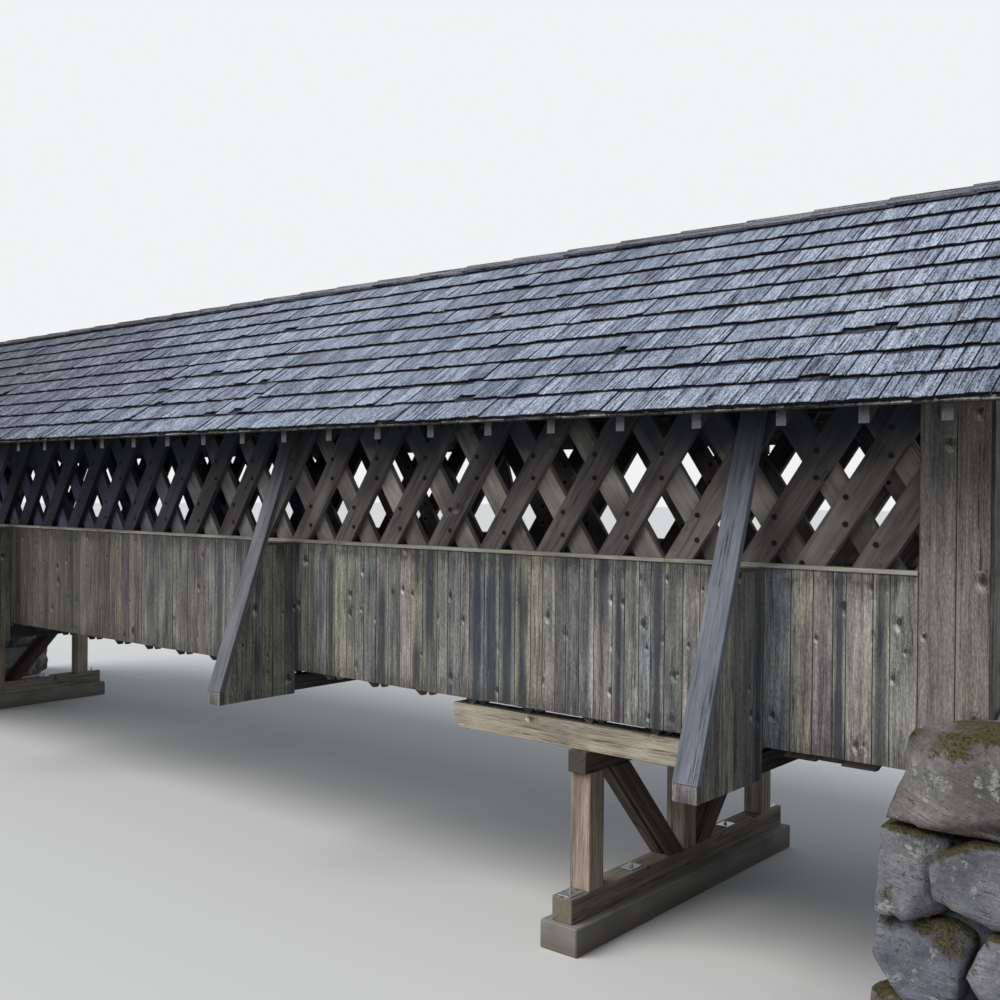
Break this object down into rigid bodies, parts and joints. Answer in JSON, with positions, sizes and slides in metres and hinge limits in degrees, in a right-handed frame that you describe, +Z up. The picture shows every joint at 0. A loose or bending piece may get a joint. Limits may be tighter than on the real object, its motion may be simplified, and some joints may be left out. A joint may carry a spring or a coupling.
{
  "type": "timber lattice covered bridge on stone abutments and timber bents",
  "caption": "Weathered timber covered bridge with open lattice sides above board siding, side buttresses, a split shake roof, timber bents and stone abutments.",
  "frame": {"origin": "centre of the plan at the ground under the abutments and footings", "axes": "+X along the bridge, +Y across it to the far side, +Z up"},
  "size_m": [24.84, 6.208, 7.409],
  "materials": {
    "siding": "weathered unpainted boards",
    "dark_timber": "rough sawn, dark with age",
    "grey_plank": "smooth grey weathered plank",
    "shakes": "silver grey split shakes",
    "new_timber": "new sawn timber",
    "post_timber": "treated square timber, checked",
    "deck_planks": "worn planks",
    "stone": "rough field stone, lichen and moss",
    "concrete": "cast concrete",
    "steel": "galvanised plate"
  },
  "bodies": {
    "root": {"anchor_plates": "steel", "bed_timbers": "post_timber", "bent_braces": "post_timber", "bent_caps": "post_timber", "bent_footings": "concrete", "bent_posts": "post_timber", "bent_sills": "post_timber", "bolsters": "new_timber", "deck": "deck_planks", "far_bottom_chord": "dark_timber", "far_brace_planks": "grey_plank", "far_buttress_boards": "siding", "far_corner_boards": "siding", "far_lattice": "dark_timber", "far_rafters": "dark_timber", "far_rail": "siding", "far_roof_boards": "dark_timber", "far_roof_shakes": "shakes", "far_siding": "siding", "far_top_chord": "dark_timber", "floor_beams": "dark_timber", "left_abutment": "stone", "left_portal": "siding", "near_bottom_chord": "dark_timber", "near_brace_planks": "grey_plank", "near_buttress_boards": "siding", "near_corner_boards": "siding", "near_lattice": "dark_timber", "near_rafters": "dark_timber", "near_rail": "siding", "near_roof_boards": "dark_timber", "near_roof_shakes": "shakes", "near_siding": "siding", "near_top_chord": "dark_timber", "outriggers": "post_timber", "ridge_board": "dark_timber", "ridge_cap": "shakes", "right_abutment": "stone", "right_portal": "siding", "tie_beams": "dark_timber"}
  },
  "joints": []
}
